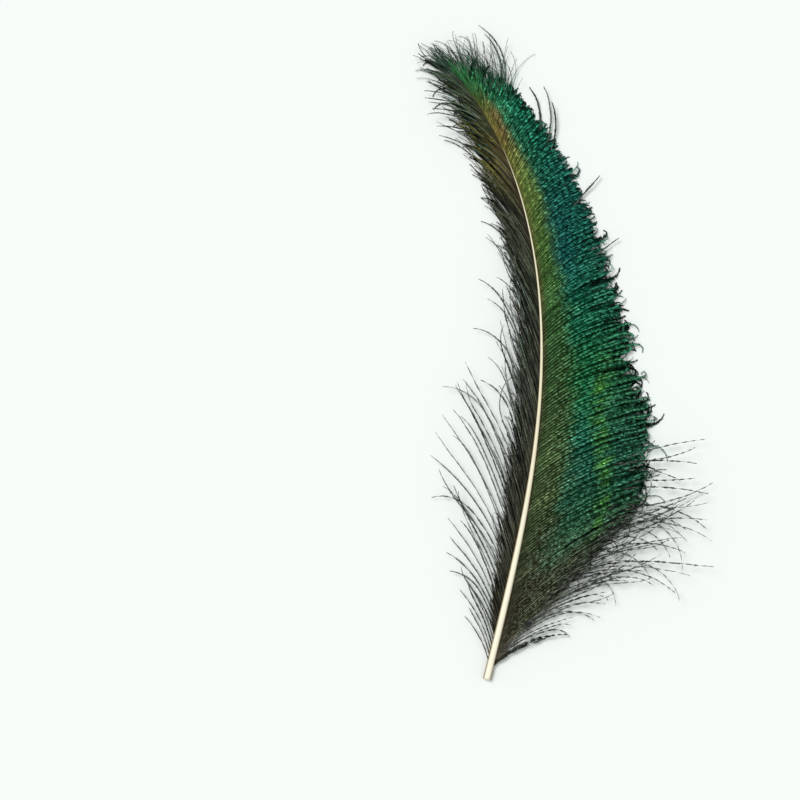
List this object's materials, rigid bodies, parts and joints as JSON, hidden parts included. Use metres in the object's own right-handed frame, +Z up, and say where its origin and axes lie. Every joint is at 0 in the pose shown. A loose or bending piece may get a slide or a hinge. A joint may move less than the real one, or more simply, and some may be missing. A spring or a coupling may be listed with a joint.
{
  "type": "peacock feather",
  "caption": "Long one-sided iridescent train feather lying on its underside, its cream shaft curved like a sabre, a wide outer vane, a narrow inner vane and loose wisps at the quill.",
  "frame": {"origin": "on the surface the feather lies on, under the flat foot of the quill", "axes": "+Y from the quill to the tip along the length, +X to the wide outer vane, +Z up out of the upper side"},
  "size_m": [0.156, 0.3273, 0.0135],
  "materials": {
    "barbs": "satin",
    "shaft": "satin"
  },
  "bodies": {
    "root": {"feather": "barbs"}
  },
  "joints": []
}
